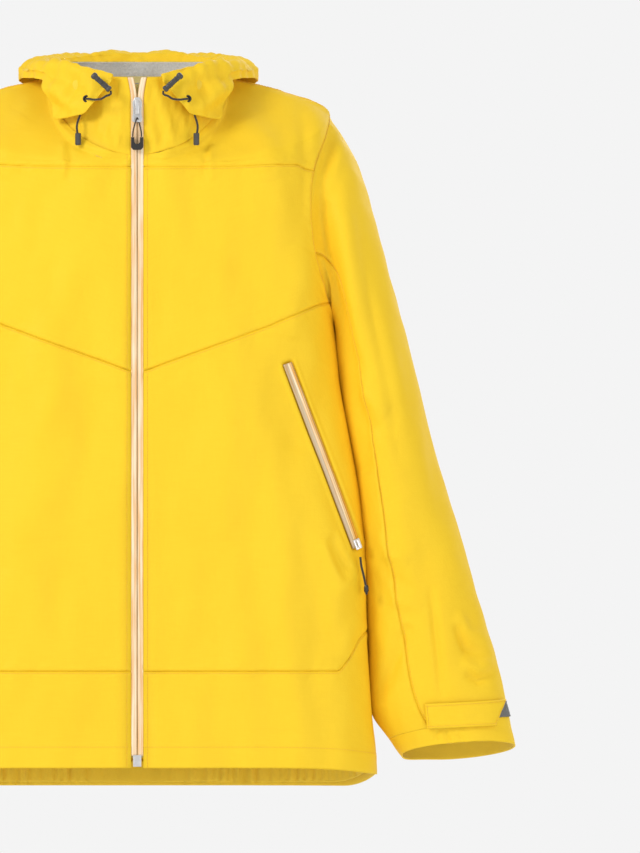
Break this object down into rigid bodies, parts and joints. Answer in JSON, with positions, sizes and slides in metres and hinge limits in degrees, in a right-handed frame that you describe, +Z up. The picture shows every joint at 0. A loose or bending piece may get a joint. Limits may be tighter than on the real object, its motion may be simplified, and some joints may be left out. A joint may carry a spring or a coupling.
{
  "type": "hardshell jacket",
  "caption": "Waterproof shell jacket, hood laid down, full-length laminated front zip, slanted zipped hand pockets, cuff tabs and drop-tail hem",
  "frame": {"origin": "centre of the hanger loop inside the back neck, where the jacket hangs", "axes": "+X is the wearer's left, -Y is the front, +Z is up; garment hangs upright, closed"},
  "size_m": [0.792, 0.2619, 0.7767],
  "materials": {
    "shell_fabric": "taffeta-faced three-layer waterproof laminate, matt with a slight sheen",
    "collar_lining": "brushed knit lining",
    "inner_fabric": "plain woven backer and mesh",
    "elastic": "braided elastic",
    "laminated_zip": "film-laminated coil zip tape, glossy",
    "pocket_zip": "film-laminated coil zip tape, glossy",
    "zip_metal": "die-cast, satin",
    "cord": "braided polyester cord",
    "dark_plastic": "moulded, fine grain",
    "grey_plastic": "moulded, satin",
    "loop_tape": "brushed loop tape"
  },
  "bodies": {
    "jacket_body": {"front_hem_left": "shell_fabric", "front_hem_right": "shell_fabric", "front_lower_left": "shell_fabric", "front_lower_right": "shell_fabric", "front_chest_left": "shell_fabric", "front_chest_right": "shell_fabric", "front_yoke_left": "shell_fabric", "front_yoke_right": "shell_fabric", "back_hem": "shell_fabric", "back_panel": "shell_fabric", "back_yoke": "shell_fabric", "collar_left": "shell_fabric", "collar_right": "shell_fabric", "hood_side_left": "shell_fabric", "hood_side_right": "shell_fabric", "hood_centre": "shell_fabric", "collar_lining": "collar_lining", "storm_flap": "inner_fabric", "pocket_bag_left": "inner_fabric", "pocket_bag_right": "inner_fabric", "hanger_loop": "inner_fabric", "hem_elastic": "elastic", "zip_tape_left": "laminated_zip", "zip_tape_right": "laminated_zip", "pocket_zip_left": "pocket_zip", "pocket_zip_right": "pocket_zip", "zip_box": "zip_metal", "hood_cord_left": "cord", "hood_cord_right": "cord", "hood_cord_tail_left": "cord", "hood_cord_tail_right": "cord", "hood_eyelet_left": "dark_plastic", "hood_eyelet_right": "dark_plastic", "hood_cord_lock_left": "grey_plastic", "hood_cord_lock_right": "grey_plastic", "hood_cord_end_left": "grey_plastic", "hood_cord_end_right": "grey_plastic"},
    "zip_slider_body": {"zip_slider": "zip_metal"},
    "zip_pull_body": {"zip_link": "zip_metal", "zip_pull_cord": "cord", "zip_grip": "dark_plastic"},
    "pocket_slider_body_left": {"pocket_slider_left": "zip_metal"},
    "pocket_pull_body_left": {"pocket_pull_cord_left": "cord", "pocket_pull_end_left": "dark_plastic"},
    "lock_button_body_left": {"hood_lock_button_left": "grey_plastic"},
    "sleeve_body_left": {"sleeve_top_left": "shell_fabric", "sleeve_under_left": "shell_fabric", "cuff_band_left": "shell_fabric", "cuff_loop_pad_left": "loop_tape"},
    "cuff_tab_body_left": {"cuff_tab_left": "shell_fabric"},
    "pocket_slider_body_right": {"pocket_slider_right": "zip_metal"},
    "pocket_pull_body_right": {"pocket_pull_cord_right": "cord", "pocket_pull_end_right": "dark_plastic"},
    "lock_button_body_right": {"hood_lock_button_right": "grey_plastic"},
    "sleeve_body_right": {"sleeve_top_right": "shell_fabric", "sleeve_under_right": "shell_fabric", "cuff_band_right": "shell_fabric", "cuff_loop_pad_right": "loop_tape"},
    "cuff_tab_body_right": {"cuff_tab_right": "shell_fabric"}
  },
  "joints": [
    {"name": "zip_slide", "type": "slide", "parent": "jacket_body", "child": "zip_slider_body", "axis": [0, 0, -1], "range_m": [0, 0.655]},
    {"name": "zip_pull_swing", "type": "hinge", "parent": "zip_slider_body", "child": "zip_pull_body", "pos_m": [0, -0.1569, -0.03255], "axis": [-1, 0, 0], "range_deg": [0, 150]},
    {"name": "pocket_slide_left", "type": "slide", "parent": "jacket_body", "child": "pocket_slider_body_left", "axis": [-0.3507, -0.1413, 0.9258], "range_m": [0, 0.17]},
    {"name": "pocket_pull_swing_left", "type": "hinge", "parent": "pocket_slider_body_left", "child": "pocket_pull_body_left", "pos_m": [0.2333, -0.1131, -0.499], "axis": [-0.8821, -0.4711, 0], "range_deg": [0, 90]},
    {"name": "lock_button_press_left", "type": "slide", "parent": "jacket_body", "child": "lock_button_body_left", "axis": [0, 1, 0], "range_m": [0, 0.0013], "stiffness_N_per_m": 250},
    {"name": "sleeve_raise_left", "type": "hinge", "parent": "jacket_body", "child": "sleeve_body_left", "pos_m": [0.2025, -0.046, -0.037], "axis": [0, -1, 0], "range_deg": [0, 30]},
    {"name": "cuff_tab_peel_left", "type": "hinge", "parent": "sleeve_body_left", "child": "cuff_tab_body_left", "pos_m": [0.3015, -0.1031, -0.6724], "axis": [0.2373, 0.0647, -0.9693], "range_deg": [0, 110]},
    {"name": "pocket_slide_right", "type": "slide", "parent": "jacket_body", "child": "pocket_slider_body_right", "axis": [0.3507, -0.1413, 0.9258], "range_m": [0, 0.17]},
    {"name": "pocket_pull_swing_right", "type": "hinge", "parent": "pocket_slider_body_right", "child": "pocket_pull_body_right", "pos_m": [-0.2333, -0.1131, -0.499], "axis": [-0.8821, 0.4711, 0], "range_deg": [0, 90]},
    {"name": "lock_button_press_right", "type": "slide", "parent": "jacket_body", "child": "lock_button_body_right", "axis": [0, 1, 0], "range_m": [0, 0.0013], "stiffness_N_per_m": 250},
    {"name": "sleeve_raise_right", "type": "hinge", "parent": "jacket_body", "child": "sleeve_body_right", "pos_m": [-0.2025, -0.046, -0.037], "axis": [0, 1, 0], "range_deg": [0, 30]},
    {"name": "cuff_tab_peel_right", "type": "hinge", "parent": "sleeve_body_right", "child": "cuff_tab_body_right", "pos_m": [-0.3015, -0.1031, -0.6724], "axis": [0.2373, -0.0647, 0.9693], "range_deg": [0, 110]}
  ]
}
